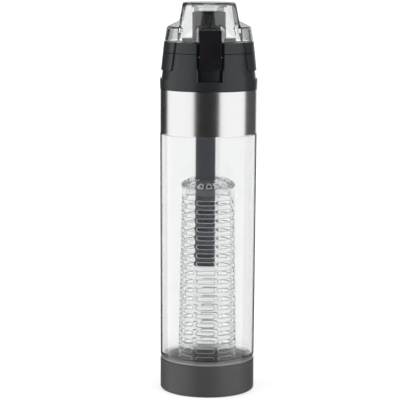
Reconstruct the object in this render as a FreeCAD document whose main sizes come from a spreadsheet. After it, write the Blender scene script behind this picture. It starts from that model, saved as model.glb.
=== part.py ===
"""Fruit infuser water bottle: clear bottle on a screw base, slotted infuser, steel band, flip-cap lid.

Millimetres, Z up, origin at the middle of the base's underside, latch at the front (-Y), hinge at the back.
"""
import FreeCAD, Part
import math
import os
import re
import Sketcher

V = FreeCAD.Vector

# Driving sizes, by piece
SIZES = {
    # Shared gaps: pressed seats, running fits, free parts, and the overrun of every cut
    "seat_gap": 0.05,
    "running_gap": 0.1,
    "free_gap": 0.3,
    "cut_overrun": 4,
    # Base cup, with the ring that it stands on and the socket for the infuser
    "base_radius": 34.4,
    "base_height": 22.9,
    "base_wall": 2.4,
    "base_floor": 2.4,
    "base_edge_round": 2,
    "foot_recess": 1.6,
    "foot_ring_width": 5,
    "socket_wall": 1.6,
    "socket_depth": 9,
    # Sealing rings
    "base_gasket_thick": 2,
    "lid_gasket_thick": 2,
    "spout_seal_thick": 2,
    # Bottle wall and its two screw necks
    "thread_room": 1,
    "neck_wall": 2.3,
    "shoulder_gap": 0.3,
    "tube_foot_radius": 34.3,
    "tube_top_radius": 35,
    "tube_wall": 2.3,
    "tube_foot_round": 0.9,
    "tube_foot_slope": 4,
    "mouth_neck_radius": 27,
    "mouth_neck_height": 17.3,
    # Steel band
    "band_radius": 35,
    "band_sheet": 0.5,
    "band_bottom": 189.5,
    "band_height": 31.6,
    # Infuser basket
    "basket_foot_radius": 21.5,
    "basket_top_radius": 18.95,
    "basket_height": 145.6,
    "basket_wall": 1.8,
    "basket_floor": 2,
    "basket_turn": -6.5,
    "slot_width": 12.8,
    "slot_height": 2.7,
    "slot_corner": 0.8,
    "slot_pitch": 6.35,
    "slot_first": 25.5,
    "slot_rows": 19,
    "slot_columns": 8,
    # Infuser cap
    "basket_cap_radius": 19.25,
    "basket_cap_edge": 1.9,
    "basket_cap_rise": 5.9,
    "basket_cap_flat_radius": 14.5,
    "basket_cap_round": 1.5,
    "basket_cap_wall": 1.8,
    "basket_plug_depth": 5,
    "arch_width": 3.4,
    "arch_sill": 1,
    "arch_rise": 2.8,
    "arch_count": 20,
    # Straw and the sleeve that grips it
    "straw_radius": 7.3,
    "straw_wall": 1.3,
    "straw_offset": 2,
    "straw_length": 149.1,
    "straw_hole_gap": 0.7,
    "grommet_wall": 1.4,
    "grommet_lip": 1.2,
    "straw_socket_depth": 13,
    "straw_socket_wall": 1.6,
    # Lid core
    "core_wall": 1.5,
    "core_upper_radius": 27.3,
    "core_plate": 3,
    "core_depth": 17,
    # Lid tiers: one cone from the flange to the deck, in two pieces
    "lid_gap": 0.3,
    "lid_radius": 35.3,
    "lid_foot_radius": 35.1,
    "lid_top_radius": 32.35,
    "flange_height": 6.2,
    "skirt_height": 26,
    "skirt_wall": 2.4,
    "skirt_ring_height": 4.8,
    "tier_gap": 0.4,
    "deck_ring_height": 7.5,
    "deck_plate": 2.4,
    "boss_radius": 19.5,
    "boss_rise": 2.5,
    "sleeve_wall": 2.4,
    # U grooves at the sides of the lid, and the panels within them
    "groove_half_width": 26.5,
    "groove_bottom": 228.9,
    "groove_round": 10,
    "groove_depth": 1.1,
    "pad_half_width": 20.5,
    "pad_bottom": 235,
    "pad_round": 2,
    # Front channel
    "channel_width": 17.2,
    "channel_rise": 0.4,
    "channel_bevel": 1.4,
    "deck_channel_back": 29.3,
    # Latch, its pin and leaf spring
    "latch_width": 15.4,
    "latch_top": 264.8,
    "latch_foot": 236.6,
    "latch_front": 35,
    "latch_end_front": 34.4,
    "latch_back": 32.4,
    "latch_round": 0.8,
    "latch_boss_radius": 1.8,
    "latch_boss_round": 1.7,
    "latch_pin_back": 29.8,
    "latch_pin_height": 245.2,
    "latch_pin_radius": 0.9,
    "latch_pin_grip": 1.7,
    "nose_low": 259.8,
    "nose_high": 262.2,
    "nose_width": 8,
    "nose_reach": 31.9,
    "spring_sheet": 0.35,
    "spring_width": 6,
    "spring_foot": 237.4,
    "spring_height": 4.4,
    "spring_fold": 0.9,
    # Spout
    "spout_radius": 12.1,
    "spout_rise": 18.9,
    "spout_round": 1.3,
    "spout_lip_radius": 9.6,
    "spout_lip_round": 0.9,
    "spout_bore_radius": 7,
    "spout_funnel": 8,
    "spout_flange_radius": 16,
    "spout_flange_thick": 3,
    # Vent valve
    "vent_back": 22.6,
    "vent_radius": 1.8,
    "vent_head_radius": 2.6,
    "vent_head_thick": 1,
    "vent_barb": 0.8,
    "vent_tail": 4,
    # Flip cap: skirt, brim, dome, and the smooth window between its two side wings
    "cap_gap": 0.9,
    "cap_low_radius": 31.9,
    "cap_skirt_height": 9.6,
    "cap_shoulder_radius": 30.4,
    "cap_shoulder_round": 2.6,
    "brim_rise": 4.5,
    "dome_foot_radius": 21.4,
    "dome_height": 13.1,
    "dome_top_radius": 18.9,
    "dome_top_round": 2.6,
    "dome_foot_round": 1.5,
    "cap_wall": 1.8,
    "window_foot_half": 23.2,
    # Catch hood of the flip cap
    "hood_width": 20.1,
    "hood_height": 11.6,
    "hood_front": 34.7,
    "hood_back": 31.6,
    "hood_round": 4,
    "hood_wall": 1.9,
    "hood_play": 0.7,
    "catch_depth": 1,
    # Seal pad in the dome
    "seal_radius": 12.6,
    "seal_foot_radius": 10.8,
    "seal_foot_thick": 2,
    # Cap hinge
    "hinge_back": 32.6,
    "hinge_rise": 2.9,
    "hinge_pin_radius": 1.2,
    "knuckle_radius": 2.3,
    "knuckle_length": 14.4,
    "ear_thick": 4,
    "ear_radius": 2.4,
    "ear_round": 2.3,
    "ear_root": 28.2,
    "ear_foot": 31,
    "ear_notch_height": 5,
}

# Places worked out from the sizes
PLACES = {
    # Heights, from the base up
    "floor_top": "foot_recess + base_floor",
    "socket_top": "floor_top + socket_depth",
    "neck_foot": "floor_top + base_gasket_thick",
    "tube_shoulder": "base_height + shoulder_gap",
    "shoulder_top": "band_bottom + band_height",
    "mouth_top": "shoulder_top + mouth_neck_height",
    "plate_low": "mouth_top + lid_gasket_thick",
    "plate_top": "plate_low + core_plate",
    "lid_foot": "shoulder_top + lid_gap",
    "cone_foot": "lid_foot + flange_height",
    "channel_bottom": "cone_foot + channel_rise",
    "skirt_top": "lid_foot + skirt_height",
    "skirt_ring_low": "skirt_top - skirt_ring_height",
    "deck_ring_low": "skirt_top + tier_gap",
    "deck_top": "deck_ring_low + deck_ring_height",
    "deck_low": "deck_top - deck_plate",
    "boss_top": "deck_top + boss_rise",
    "spout_flange_low": "plate_top + spout_seal_thick",
    "spout_flange_top": "spout_flange_low + spout_flange_thick",
    "spout_top": "boss_top + spout_rise",
    "cap_low": "deck_top + cap_gap",
    "cap_shoulder": "cap_low + cap_skirt_height",
    "dome_foot": "cap_shoulder + brim_rise",
    "dome_top": "dome_foot + dome_height",
    "dome_ceiling": "dome_top - cap_wall",
    "hinge_height": "deck_top + hinge_rise",
    "basket_top": "floor_top + basket_height",
    "basket_cap_top": "basket_top + basket_cap_rise",
    "straw_top": "plate_low - free_gap",
    "straw_foot": "straw_top - straw_length",
    "straw_socket_foot": "plate_low - straw_socket_depth",
    # Radii that follow from a neighbour's
    "base_bore": "base_radius - base_wall",
    "socket_bore": "basket_foot_radius + free_gap",
    "lower_neck_radius": "base_bore - thread_room",
    "lower_neck_bore": "lower_neck_radius - neck_wall",
    "band_bore": "band_radius - band_sheet",
    "band_seat": "band_bore - seat_gap",
    "mouth_radius": "mouth_neck_radius - neck_wall",
    "core_bore": "mouth_neck_radius + thread_room",
    "core_radius": "core_bore + core_wall",
    "skirt_ring_bore": "core_upper_radius + seat_gap",
    "lid_lean": "(lid_radius - lid_top_radius) / (deck_top - cone_foot)",
    "skirt_top_radius": "lid_radius - lid_lean * (skirt_top - cone_foot)",
    "skirt_ring_radius": "lid_radius - lid_lean * (skirt_ring_low - cone_foot)",
    "deck_ring_radius": "lid_radius - lid_lean * (deck_ring_low - cone_foot)",
    "sleeve_bore": "spout_radius + running_gap",
    "sleeve_radius": "sleeve_bore + sleeve_wall",
    "grommet_bore": "straw_radius + running_gap",
    "grommet_radius": "grommet_bore + grommet_wall",
    "straw_socket_bore": "grommet_radius + seat_gap",
    "straw_socket_radius": "straw_socket_bore + straw_socket_wall",
    "straw_hole": "straw_radius + straw_offset + straw_hole_gap",
    "straw_bore": "straw_radius - straw_wall",
    "plug_radius": "basket_top_radius - basket_wall - free_gap",
    "brim_lean": "brim_rise / (cap_shoulder_radius - dome_foot_radius)",
    "channel_back": "sqrt(skirt_ring_bore ^ 2 - channel_width ^ 2 / 4)",
    "ear_inside": "knuckle_length / 2 + free_gap",
    "ear_outside": "ear_inside + ear_thick",
    "ear_notch_top": "hinge_height - ear_radius + ear_notch_height + free_gap",
}

doc = FreeCAD.newDocument("infuser_bottle")
sheet = doc.addObject("Spreadsheet::Sheet", "size")
for row, (name, number) in enumerate(SIZES.items(), start=1):
    sheet.set(f"A{row}", name)
    sheet.set(f"B{row}", str(number))
    sheet.setAlias(f"B{row}", name)
doc.recompute()


def bound(text):
    """The text of a size, with each name tied to its cell and each worked-out place written out."""
    def tie(match):
        name = match.group(0)
        if name in PLACES:
            return f"({bound(PLACES[name])})"
        return f"size.{name}" if name in SIZES else name
    return re.sub(r"[a-z][a-z_]*", tie, text)


def value(text):
    """The number that a size's text comes to now."""
    return float(sheet.evalExpression(bound(text)))


def datum(kind, references, text):
    """A dimension of a sketch, with the text that ties it to the sheet."""
    return Sketcher.Constraint(kind, *references, value(text)), text


def point_data(item, end, across, up):
    """The two dimensions that place a point of a sketch from the sketch's origin."""
    return [
        datum("DistanceX", (-1, 1, item, end), across),
        datum("DistanceY", (-1, 1, item, end), up),
    ]


def constrain(sketch, rules):
    """Adds constraints, given with the text of a size or with None, in one go."""
    numbers = sketch.addConstraint([rule for rule, text in rules])
    for number, (rule, text) in zip(numbers, rules):
        if text is not None:
            sketch.setExpression(f"Constraints[{number}]", bound(text))


def corner_arc(before, corner, after, radius):
    """The arc that rounds a corner, its two ends in order, and whether it runs anticlockwise."""
    back = (before - corner).normalize()
    on = (after - corner).normalize()
    half = back.getAngle(on) / 2
    first = corner + back * (radius / math.tan(half))
    last = corner + on * (radius / math.tan(half))
    middle = corner + (back + on).normalize() * (radius / math.sin(half))
    left_turn = back.cross(on).z < 0
    start, stop = (first, last) if left_turn else (last, first)
    angles = [math.atan2(p.y - middle.y, p.x - middle.x) for p in (start, stop)]
    arc = Part.ArcOfCircle(Part.Circle(middle, V(0, 0, 1), radius), *angles)
    return arc, first, last, left_turn


def outline(sketch, corners):
    """A closed outline through corners given as texts (across, up), with a third text for a rounded one."""
    places = [V(value(corner[0]), value(corner[1]), 0) for corner in corners]
    count = len(corners)
    arcs = {}
    for i, corner in enumerate(corners):
        if len(corner) == 3:
            arcs[i] = corner_arc(places[i - 1], places[i], places[(i + 1) % count], value(corner[2]))
    lines = []
    for i in range(count):
        after = (i + 1) % count
        start = arcs[i][2] if i in arcs else places[i]
        stop = arcs[after][1] if after in arcs else places[after]
        lines.append(sketch.addGeometry(Part.LineSegment(start, stop), False))
    rules = []
    for i, corner in enumerate(corners):
        arriving, leaving = lines[i - 1], lines[i]
        if i not in arcs:
            rules.append((Sketcher.Constraint("Coincident", arriving, 2, leaving, 1), None))
            rules += point_data(leaving, 1, corner[0], corner[1])
            continue
        arc = sketch.addGeometry(arcs[i][0], False)
        mark = sketch.addGeometry(Part.Point(places[i]), True)
        first, last = (1, 2) if arcs[i][3] else (2, 1)
        rules.append((Sketcher.Constraint("PointOnObject", mark, 1, arriving), None))
        rules.append((Sketcher.Constraint("PointOnObject", mark, 1, leaving), None))
        rules.append((Sketcher.Constraint("Tangent", arriving, 2, arc, first), None))
        rules.append((Sketcher.Constraint("Tangent", leaving, 1, arc, last), None))
        rules += point_data(mark, 1, corner[0], corner[1])
        rules.append(datum("Radius", (arc,), corner[2]))
    constrain(sketch, rules)


def ring(sketch, across, up, radius):
    """A circle of a sketch."""
    middle = V(value(across), value(up), 0)
    item = sketch.addGeometry(Part.Circle(middle, V(0, 0, 1), value(radius)), False)
    constrain(sketch, point_data(item, 3, across, up) + [datum("Radius", (item,), radius)])


def box_corners(left, low, right, high):
    """The four corners of an upright rectangle."""
    return [(left, low), (right, low), (right, high), (left, high)]


def new_body(label):
    body = doc.addObject("PartDesign::Body", label)
    body.Label = label
    return body


def sketch_on(body, plane, start="0"):
    """A sketch on an origin plane, moved along the plane's normal: XY faces up, XZ front, YZ right."""
    sketch = body.newObject("Sketcher::SketchObject", f"{body.Label}_sketch")
    origin_plane = next(item for item in body.Origin.OriginFeatures if item.Role == plane)
    sketch.AttachmentSupport = [(origin_plane, "")]
    sketch.MapMode = "FlatFace"
    sketch.setExpression("AttachmentOffset.Base.z", bound(start))
    return sketch


def turn(body, corners, kind="PartDesign::Revolution"):
    """A full turn of a profile about the body's Z axis, as a solid or, with a Groove, as a cut."""
    sketch = sketch_on(body, "XZ_Plane")
    outline(sketch, corners)
    feature = body.newObject(kind, f"{body.Label}_turn")
    feature.Profile = sketch
    feature.ReferenceAxis = (sketch, ["V_Axis"])
    feature.Angle = 360
    doc.recompute()
    return feature


def push(body, kind, sketch, length, middle=False, reverse=False):
    """A Pad or Pocket of a sketch. A pocket must take material away, and a pad must add some."""
    volume = body.Shape.Volume if body.Tip else 0
    feature = body.newObject(f"PartDesign::{kind}", f"{body.Label}_{kind.lower()}")
    feature.Profile = sketch
    feature.setExpression("Length", bound(length))
    feature.Midplane = middle
    feature.Reversed = reverse
    doc.recompute()
    changed = feature.Shape.Volume - volume
    if (changed <= 0) == (kind == "Pad"):
        raise ValueError(f"{feature.Label} of {body.Label} misses the solid")
    return feature


def pattern_round(body, feature, count, angle):
    """Copies of a feature over an angle about the body's Z axis, which is upright in the feature's sketch."""
    pattern = body.newObject("PartDesign::PolarPattern", f"{body.Label}_pattern")
    pattern.Originals = [feature]
    pattern.Axis = (feature.Profile[0], ["V_Axis"])
    pattern.Mode = "Extent"
    pattern.setExpression("Angle", bound(angle))
    pattern.setExpression("Occurrences", bound(count))
    body.Tip = pattern
    doc.recompute()


def turned_piece(label, corners):
    body = new_body(label)
    turn(body, corners)
    return body


def block(label, plane, corners, length):
    """A prism of an outline, the same length on both sides of an origin plane."""
    body = new_body(label)
    sketch = sketch_on(body, plane)
    outline(sketch, corners)
    push(body, "Pad", sketch, length, middle=True)
    return body


def cross_pin(label, back, height, radius, length):
    """A round pin along X."""
    body = new_body(label)
    sketch = sketch_on(body, "YZ_Plane")
    ring(sketch, back, height, radius)
    push(body, "Pad", sketch, length, middle=True)
    return body


def cross_hole(body, back, height, radius, length):
    """A round hole along X, centred."""
    sketch = sketch_on(body, "YZ_Plane")
    ring(sketch, back, height, radius)
    return push(body, "Pocket", sketch, length, middle=True)


def joined(label, kind, base, tool):
    """A boolean of two objects: Cut, Common or Fuse."""
    feature = doc.addObject(f"Part::{kind}", label)
    feature.Label = label
    feature.Base = base
    feature.Tool = tool
    doc.recompute()
    return feature


def on_channel_edge(point):
    """Whether a point lies both on the lid's cone and on a side of the channel."""
    cone = value("lid_radius") - value("lid_lean") * (point.z - value("cone_foot"))
    near = value("seat_gap") / 10
    beside = abs(abs(point.x) - value("channel_width / 2")) < near
    return beside and abs(math.hypot(point.x, point.y) - cone) < near


def front_channel(body, back):
    """The latch's channel, cut in from the front, with its two upright edges bevelled."""
    sketch = sketch_on(body, "XZ_Plane", "lid_radius + cut_overrun")
    half = "channel_width / 2"
    outline(sketch, box_corners(f"-{half}", "channel_bottom", half, "deck_top + cut_overrun"))
    pocket = push(body, "Pocket", sketch, f"lid_radius + cut_overrun - ({back})")
    edges = []
    for number, edge in enumerate(pocket.Shape.Edges, start=1):
        ends = [vertex.Point for vertex in edge.Vertexes]
        if len(ends) == 2 and all(on_channel_edge(end) for end in ends) and ends[0].x * ends[1].x > 0:
            edges.append(f"Edge{number}")
    bevel = body.newObject("PartDesign::Chamfer", f"{body.Label}_bevel")
    bevel.Base = (pocket, edges)
    bevel.setExpression("Size", bound("channel_bevel"))
    doc.recompute()


def base_cup():
    foot_ring = "base_radius - foot_ring_width"
    socket_outside = "socket_bore + socket_wall"
    return turned_piece("base_cup", [
        ("0", "foot_recess"),
        (foot_ring, "foot_recess"),
        (foot_ring, "0"),
        ("base_radius", "0", "base_edge_round"),
        ("base_radius", "base_height"),
        ("base_bore", "base_height"),
        ("base_bore", "floor_top"),
        (socket_outside, "floor_top"),
        (socket_outside, "socket_top"),
        ("socket_bore", "socket_top"),
        ("socket_bore", "floor_top"),
        ("0", "floor_top"),
    ])


def sealing_ring(label, bore, radius, low, thick):
    high = f"{low} + {thick}"
    return turned_piece(label, [
        (bore, low),
        (radius, low),
        (radius, high),
        (bore, high),
    ])


def body_tube():
    return turned_piece("body_tube", [
        ("lower_neck_bore", "neck_foot"),
        ("lower_neck_radius", "neck_foot"),
        ("lower_neck_radius", "tube_shoulder"),
        ("tube_foot_radius", "tube_shoulder", "tube_foot_round"),
        ("tube_top_radius", "band_bottom"),
        ("band_seat", "band_bottom"),
        ("band_seat", "shoulder_top"),
        ("mouth_neck_radius", "shoulder_top"),
        ("mouth_neck_radius", "mouth_top"),
        ("mouth_radius", "mouth_top"),
        ("mouth_radius", "shoulder_top"),
        ("band_seat - tube_wall", "shoulder_top - (band_seat - tube_wall - mouth_radius)"),
        ("tube_foot_radius - tube_wall", "tube_shoulder + tube_foot_slope"),
        ("lower_neck_bore", "tube_shoulder"),
    ])


def steel_band():
    low = "band_bottom + seat_gap"
    return turned_piece("steel_band", [
        ("band_bore", low),
        ("band_radius", low),
        ("band_radius", "shoulder_top"),
        ("band_bore", "shoulder_top"),
    ])


def infuser_basket():
    """Tapered basket whose wall is cut right through by rows of slots, then turned a little."""
    body = turned_piece("infuser_basket", [
        ("0", "floor_top"),
        ("basket_foot_radius", "floor_top"),
        ("basket_top_radius", "basket_top"),
        ("basket_top_radius - basket_wall", "basket_top"),
        ("basket_foot_radius - basket_wall", "floor_top + basket_floor"),
        ("0", "floor_top + basket_floor"),
    ])
    sketch = sketch_on(body, "XZ_Plane")
    for row_number in range(int(value("slot_rows"))):
        outline(sketch, slot_corners(row_number))
    slots = push(body, "Pocket", sketch, "basket_foot_radius * 2 + cut_overrun", middle=True)
    pattern_round(body, slots, "slot_columns / 2", "180 - 360 / slot_columns")
    body.Placement = FreeCAD.Placement(V(0, 0, 0), FreeCAD.Rotation(V(0, 0, 1), 0))
    body.setExpression("Placement.Rotation.Angle", bound("basket_turn"))
    doc.recompute()
    return body


def slot_corners(row_number):
    """One slot of a column, with its corners cut off."""
    out = "slot_width / 2"
    low = f"slot_first + {row_number} * slot_pitch - slot_height / 2"
    high = f"slot_first + {row_number} * slot_pitch + slot_height / 2"
    return [
        (f"-{out}", f"{low} + slot_corner"),
        (f"-{out} + slot_corner", low),
        (f"{out} - slot_corner", low),
        (out, f"{low} + slot_corner"),
        (out, f"{high} - slot_corner"),
        (f"{out} - slot_corner", high),
        (f"-{out} + slot_corner", high),
        (f"-{out}", f"{high} - slot_corner"),
    ]


def infuser_cap():
    """Cap that plugs into the basket, with a ring of arched openings through its sloping shoulder."""
    body = turned_piece("infuser_cap", [
        ("plug_radius - basket_cap_wall", "basket_top - basket_plug_depth"),
        ("plug_radius", "basket_top - basket_plug_depth"),
        ("plug_radius", "basket_top"),
        ("basket_cap_radius", "basket_top"),
        ("basket_cap_radius", "basket_top + basket_cap_edge"),
        ("basket_cap_flat_radius", "basket_cap_top", "basket_cap_round"),
        ("straw_hole", "basket_cap_top"),
        ("straw_hole", "basket_cap_top - basket_cap_wall"),
        ("basket_cap_flat_radius - basket_cap_wall", "basket_cap_top - basket_cap_wall"),
        ("plug_radius - basket_cap_wall", "basket_top"),
    ])
    half = "arch_width / 2"
    sill = "basket_top + arch_sill"
    sketch = sketch_on(body, "XZ_Plane", "basket_cap_radius + cut_overrun")
    outline(sketch, [
        (f"-{half}", sill),
        (half, sill),
        (half, f"{sill} + arch_rise", f"{half} - seat_gap"),
        (f"-{half}", f"{sill} + arch_rise", f"{half} - seat_gap"),
    ])
    inner_edge = "basket_cap_flat_radius - basket_cap_wall"
    arch = push(body, "Pocket", sketch, f"basket_cap_radius + cut_overrun - ({inner_edge})")
    pattern_round(body, arch, "arch_count", "360")
    return body


def straw():
    body = turned_piece("straw", [
        ("straw_bore", "straw_foot"),
        ("straw_radius", "straw_foot"),
        ("straw_radius", "straw_top"),
        ("straw_bore", "straw_top"),
    ])
    body.setExpression("Placement.Base.x", bound("-straw_offset"))
    return body


def straw_grommet():
    """Sleeve in the straw socket, with a lip round the socket's mouth."""
    body = turned_piece("straw_grommet", [
        ("grommet_bore", "straw_socket_foot - grommet_lip"),
        ("straw_socket_radius", "straw_socket_foot - grommet_lip"),
        ("straw_socket_radius", "straw_socket_foot"),
        ("grommet_radius", "straw_socket_foot"),
        ("grommet_radius", "straw_top"),
        ("grommet_bore", "straw_top"),
    ])
    body.setExpression("Placement.Base.x", bound("-straw_offset"))
    return body


def lid_core():
    """Inner screw cup: outer wall, plate, straw socket under it, and the ring that carries the deck."""
    body = turned_piece("lid_core", [
        ("0", "plate_low"),
        ("core_bore", "plate_low"),
        ("core_bore", "plate_low - core_depth"),
        ("core_radius", "plate_low - core_depth"),
        ("core_radius", "skirt_ring_low"),
        ("core_upper_radius", "skirt_ring_low"),
        ("core_upper_radius", "deck_low"),
        ("core_upper_radius - core_wall", "deck_low"),
        ("core_upper_radius - core_wall", "plate_top"),
        ("0", "plate_top"),
    ])
    socket = sketch_on(body, "XY_Plane", "straw_socket_foot")
    ring(socket, "-straw_offset", "0", "straw_socket_radius")
    push(body, "Pad", socket, "straw_socket_depth")
    bore = sketch_on(body, "XY_Plane", "straw_socket_foot")
    ring(bore, "-straw_offset", "0", "straw_socket_bore")
    push(body, "Pocket", bore, "straw_socket_depth", reverse=True)
    way = sketch_on(body, "XY_Plane", "plate_top + cut_overrun")
    ring(way, "-straw_offset", "0", "straw_bore")
    push(body, "Pocket", way, "core_plate + cut_overrun * 2")
    air = sketch_on(body, "XY_Plane", "plate_top + cut_overrun")
    ring(air, "0", "vent_back", "vent_radius")
    push(body, "Pocket", air, "core_plate + cut_overrun * 2")
    return body


def groove_cutters():
    """What the side grooves take from the lid: the whole U, and the U less the panels within it."""
    shell = turned_piece("groove_shell", [
        ("lid_radius - groove_depth", "cone_foot"),
        ("lid_radius + cut_overrun", "cone_foot"),
        ("lid_radius + cut_overrun", "deck_top + cut_overrun"),
        ("lid_top_radius - groove_depth", "deck_top + cut_overrun"),
        ("lid_top_radius - groove_depth", "deck_top"),
    ])
    across = "(lid_radius + cut_overrun) * 2"
    high = "deck_top + cut_overrun"
    whole = block("groove_outline", "YZ_Plane", [
        ("-groove_half_width", "groove_bottom", "groove_round"),
        ("groove_half_width", "groove_bottom", "groove_round"),
        ("groove_half_width", high),
        ("-groove_half_width", high),
    ], across)
    within = block("panel_outline", "YZ_Plane", [
        ("-pad_half_width", "pad_bottom", "pad_round"),
        ("pad_half_width", "pad_bottom", "pad_round"),
        ("pad_half_width", high),
        ("-pad_half_width", high),
    ], across)
    recess = joined("groove_recess", "Common", shell, whole)
    channel = joined("groove_channel", "Cut", recess, within)
    return recess, channel, within


def lid_skirt(recess):
    """Lower tier: a flanged cone with a thick top ring, the latch's channel, pin holes and side recesses."""
    body = turned_piece("skirt_blank", [
        ("lid_foot_radius - skirt_wall", "lid_foot"),
        ("lid_foot_radius", "lid_foot"),
        ("lid_radius", "cone_foot"),
        ("skirt_top_radius", "skirt_top"),
        ("skirt_ring_bore", "skirt_top"),
        ("skirt_ring_bore", "skirt_ring_low"),
        ("skirt_ring_radius - skirt_wall", "skirt_ring_low"),
        ("lid_radius - skirt_wall", "cone_foot"),
    ])
    front_channel(body, "channel_back")
    hole_length = "channel_width + (latch_pin_grip + free_gap) * 2"
    cross_hole(body, "-latch_pin_back", "latch_pin_height", "latch_pin_radius + seat_gap", hole_length)
    return joined("lid_skirt", "Cut", body, recess)


def hinge_ears(body):
    """Two ears at the back of the deck, bored for the hinge pin."""
    profile = [
        ("ear_root", "deck_low"),
        ("ear_foot", "deck_low"),
        ("hinge_back + ear_radius", "hinge_height"),
        ("hinge_back + ear_radius", "hinge_height + ear_radius", "ear_round"),
        ("hinge_back - ear_radius", "hinge_height + ear_radius", "ear_round"),
        ("ear_root", "deck_top"),
    ]
    for start in ("ear_inside", "-ear_outside"):
        sketch = sketch_on(body, "YZ_Plane", start)
        outline(sketch, profile)
        push(body, "Pad", sketch, "ear_thick")
    hole_length = "(ear_outside + free_gap) * 2"
    cross_hole(body, "hinge_back", "hinge_height", "hinge_pin_radius + seat_gap", hole_length)


def lid_deck(channel):
    """Upper tier: cone ring, deck, raised boss with a sleeve that holds the spout down, and hinge ears."""
    boss_bore = "boss_radius - deck_plate"
    boss_low = "boss_top - deck_plate"
    ring_bore = "deck_ring_radius - skirt_wall"
    body = turned_piece("deck_blank", [
        (ring_bore, "deck_ring_low"),
        ("deck_ring_radius", "deck_ring_low"),
        ("lid_top_radius", "deck_top"),
        ("boss_radius", "deck_top"),
        ("boss_radius", "boss_top"),
        ("sleeve_bore", "boss_top"),
        ("sleeve_bore", "spout_flange_top"),
        ("sleeve_radius", "spout_flange_top"),
        ("sleeve_radius", boss_low),
        (boss_bore, boss_low),
        (boss_bore, "deck_low"),
        (ring_bore, "deck_low"),
    ])
    front_channel(body, "deck_channel_back")
    hinge_ears(body)
    air = sketch_on(body, "XY_Plane", "deck_top + cut_overrun")
    ring(air, "0", "vent_back", "vent_radius + seat_gap")
    push(body, "Pocket", air, "deck_plate + cut_overrun * 2")
    return joined("lid_deck", "Cut", body, channel)


def grip_pads(within):
    """Panels that fill the middle of each recess of the lower tier, flush with its cone."""
    floor = "groove_depth - seat_gap"
    shell = turned_piece("pad_shell", [
        (f"lid_radius - ({floor})", "cone_foot"),
        ("lid_radius", "cone_foot"),
        ("skirt_top_radius", "skirt_top"),
        (f"skirt_top_radius - ({floor})", "skirt_top"),
    ])
    both = joined("pad_pair", "Common", shell, within)
    right_side = box_corners("0", "-lid_radius", "lid_radius", "lid_radius")
    half = block("pad_side", "XY_Plane", right_side, "deck_top * 3")
    joined("grip_pad_right", "Common", both, half)
    joined("grip_pad_left", "Cut", both, half)


def spout():
    turned_piece("spout", [
        ("spout_bore_radius", "spout_flange_low"),
        ("spout_flange_radius", "spout_flange_low"),
        ("spout_flange_radius", "spout_flange_top"),
        ("spout_radius", "spout_flange_top"),
        ("spout_radius", "spout_top", "spout_round"),
        ("spout_lip_radius", "spout_top", "spout_lip_round"),
        ("spout_bore_radius", "spout_top - spout_funnel"),
    ])


def vent_valve():
    """Mushroom plug through the deck: head above, barb below, tapering tail."""
    body = turned_piece("vent_valve", [
        ("0", "deck_low - vent_tail"),
        ("vent_radius - vent_barb", "deck_low - vent_tail"),
        ("vent_radius + vent_barb", "deck_low"),
        ("vent_radius", "deck_low"),
        ("vent_radius", "deck_top"),
        ("vent_head_radius", "deck_top"),
        ("vent_head_radius", "deck_top + vent_head_thick"),
        ("0", "deck_top + vent_head_thick"),
    ])
    body.setExpression("Placement.Base.y", bound("vent_back"))


def cap_form(label, inset):
    """The cap's outside, or its hollow with an inset: skirt, brim and dome, and a cone from front to back."""
    lean = f"{inset} * brim_lean - {inset} * sqrt(1 + brim_lean ^ 2)"
    high = f"dome_top - {inset}"
    ring_form = turned_piece(f"{label}_ring", [
        ("0", "cap_low"),
        (f"cap_low_radius - {inset}", "cap_low"),
        (f"cap_shoulder_radius - {inset}", f"cap_shoulder + {lean}", f"cap_shoulder_round - {inset}"),
        (f"dome_foot_radius - {inset}", f"dome_foot + {lean}", f"dome_foot_round + {inset}"),
        (f"dome_top_radius - {inset}", high, f"dome_top_round - {inset}"),
        ("0", high),
    ])
    cone = turned_piece(f"{label}_cone", [
        ("0", "cap_low"),
        (f"cap_low_radius - {inset}", "cap_low"),
        (f"dome_top_radius - {inset}", high, f"dome_top_round - {inset}"),
        ("0", high),
    ])
    middle = new_body(f"{label}_middle")
    sketch = sketch_on(middle, "XZ_Plane")
    outline(sketch, [
        (f"{inset} - window_foot_half", "cap_low"),
        (f"window_foot_half - {inset}", "cap_low"),
        (f"dome_top_radius - {inset}", high),
        (f"{inset} - dome_top_radius", high),
    ])
    push(middle, "Pad", sketch, "(cap_low_radius + cut_overrun) * 2", middle=True)
    window = joined(f"{label}_window", "Common", cone, middle)
    sides = joined(f"{label}_sides", "Cut", ring_form, middle)
    return joined(label, "Fuse", sides, window)


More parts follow.
